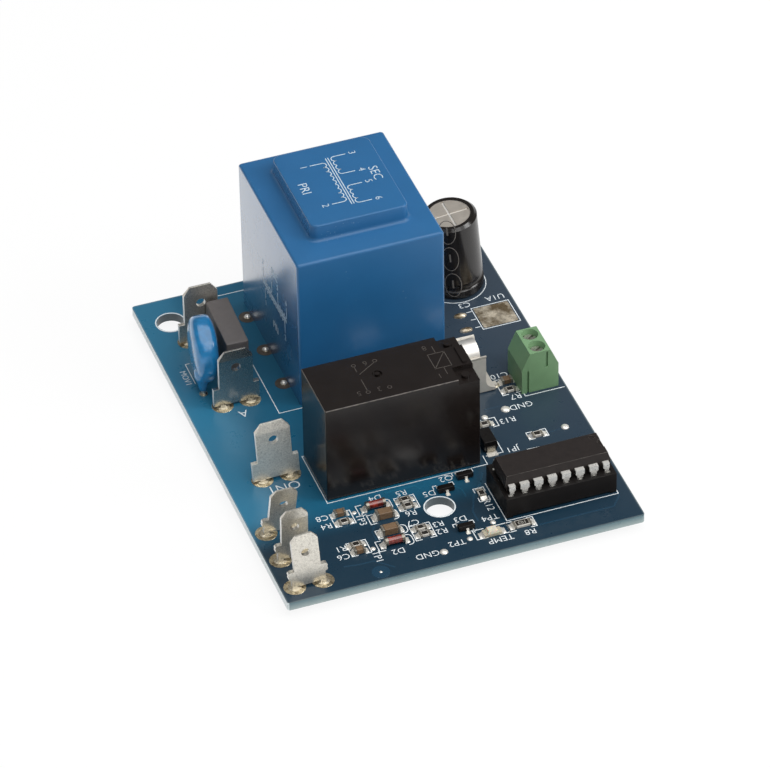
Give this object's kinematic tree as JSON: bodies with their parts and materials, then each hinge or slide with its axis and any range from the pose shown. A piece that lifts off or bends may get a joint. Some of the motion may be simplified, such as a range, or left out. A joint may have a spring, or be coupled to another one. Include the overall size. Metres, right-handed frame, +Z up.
{
  "type": "level control board",
  "caption": "Flat circuit board with a potted transformer, boxed relay, fuse, socketed chip, clamp terminal and blade tabs, which switches a load from a level probe.",
  "frame": {"origin": "middle of the board's outline, at the tips of the soldered tails", "axes": "+X along the front edge to the right, +Y to the back edge, +Z up from the component side"},
  "size_m": [0.065, 0.086, 0.0376],
  "materials": {
    "laminate": "glossy solder resist",
    "case_blue": "satin moulding",
    "resin": "cast",
    "tinned": "tinned",
    "relay_black": "satin moulding",
    "can": "satin",
    "sleeve": "shrink film",
    "bung": "matt",
    "chip_black": "matt moulding",
    "socket_black": "satin moulding",
    "terminal_green": "satin moulding",
    "coating_blue": "glossy lacquer",
    "film_grey": "matt moulding",
    "glass": "clear",
    "red_glass": "tinted",
    "resistor": "glazed top",
    "ceramic": "matt",
    "lens": "clear cast",
    "lamp_base": "matt",
    "solder": "bright solder"
  },
  "bodies": {
    "board": {"circuit_board": "laminate", "transformer_case": "case_blue", "transformer_resin": "resin", "transformer_pins": "tinned", "relay_cover": "relay_black", "relay_base": "relay_black", "relay_pins": "tinned", "capacitor_can": "can", "capacitor_sleeve": "sleeve", "capacitor_bung": "bung", "capacitor_leads": "tinned", "chip_body": "chip_black", "chip_pins": "tinned", "chip_socket": "socket_black", "socket_contacts": "tinned", "terminal_housing": "terminal_green", "terminal_bars": "tinned", "varistor_disc": "coating_blue", "varistor_leads": "tinned", "film_box": "film_grey", "film_leads": "tinned", "wide_tab_back": "tinned", "wide_tab_middle": "tinned", "wide_tab_front": "tinned", "narrow_tab_back": "tinned", "narrow_tab_middle": "tinned", "narrow_tab_front": "tinned", "fuse_tube": "glass", "fuse_caps": "tinned", "fuse_wire": "tinned", "fuse_clip_left": "tinned", "fuse_clip_right": "tinned", "resistor_bodies": "resistor", "ceramic_bodies": "ceramic", "chip_ends": "tinned", "diode_glass": "red_glass", "diode_ends": "tinned", "triode_bodies": "chip_black", "triode_leads": "tinned", "rectifier_body": "chip_black", "rectifier_leads": "tinned", "lamp_lens": "lens", "lamp_base": "lamp_base", "solder_joints": "solder"},
    "screw_front": {"terminal_screw_front": "tinned"},
    "screw_back": {"terminal_screw_back": "tinned"},
    "cage_front": {"terminal_cage_front": "tinned"},
    "cage_back": {"terminal_cage_back": "tinned"}
  },
  "joints": [
    {"name": "cage_lift_front", "type": "slide", "parent": "board", "child": "cage_front", "axis": [0, 0, 1], "range_m": [0, 0.0016]},
    {"name": "clamp_screw_front", "type": "hinge", "parent": "board", "child": "screw_front", "pos_m": [0.02775, -0.00335, 0.0097], "axis": [0, 0, 1], "range_deg": [-1441, 0]},
    {"name": "cage_lift_back", "type": "slide", "parent": "board", "child": "cage_back", "axis": [0, 0, 1], "range_m": [0, 0.0016]},
    {"name": "clamp_screw_back", "type": "hinge", "parent": "board", "child": "screw_back", "pos_m": [0.02775, 0.00015, 0.0097], "axis": [0, 0, 1], "range_deg": [-1441, 0]}
  ],
  "couplings": [
    {"joint": "clamp_screw_front", "follows": "cage_lift_front", "rad_per_m": -15708},
    {"joint": "clamp_screw_back", "follows": "cage_lift_back", "rad_per_m": -15708}
  ]
}
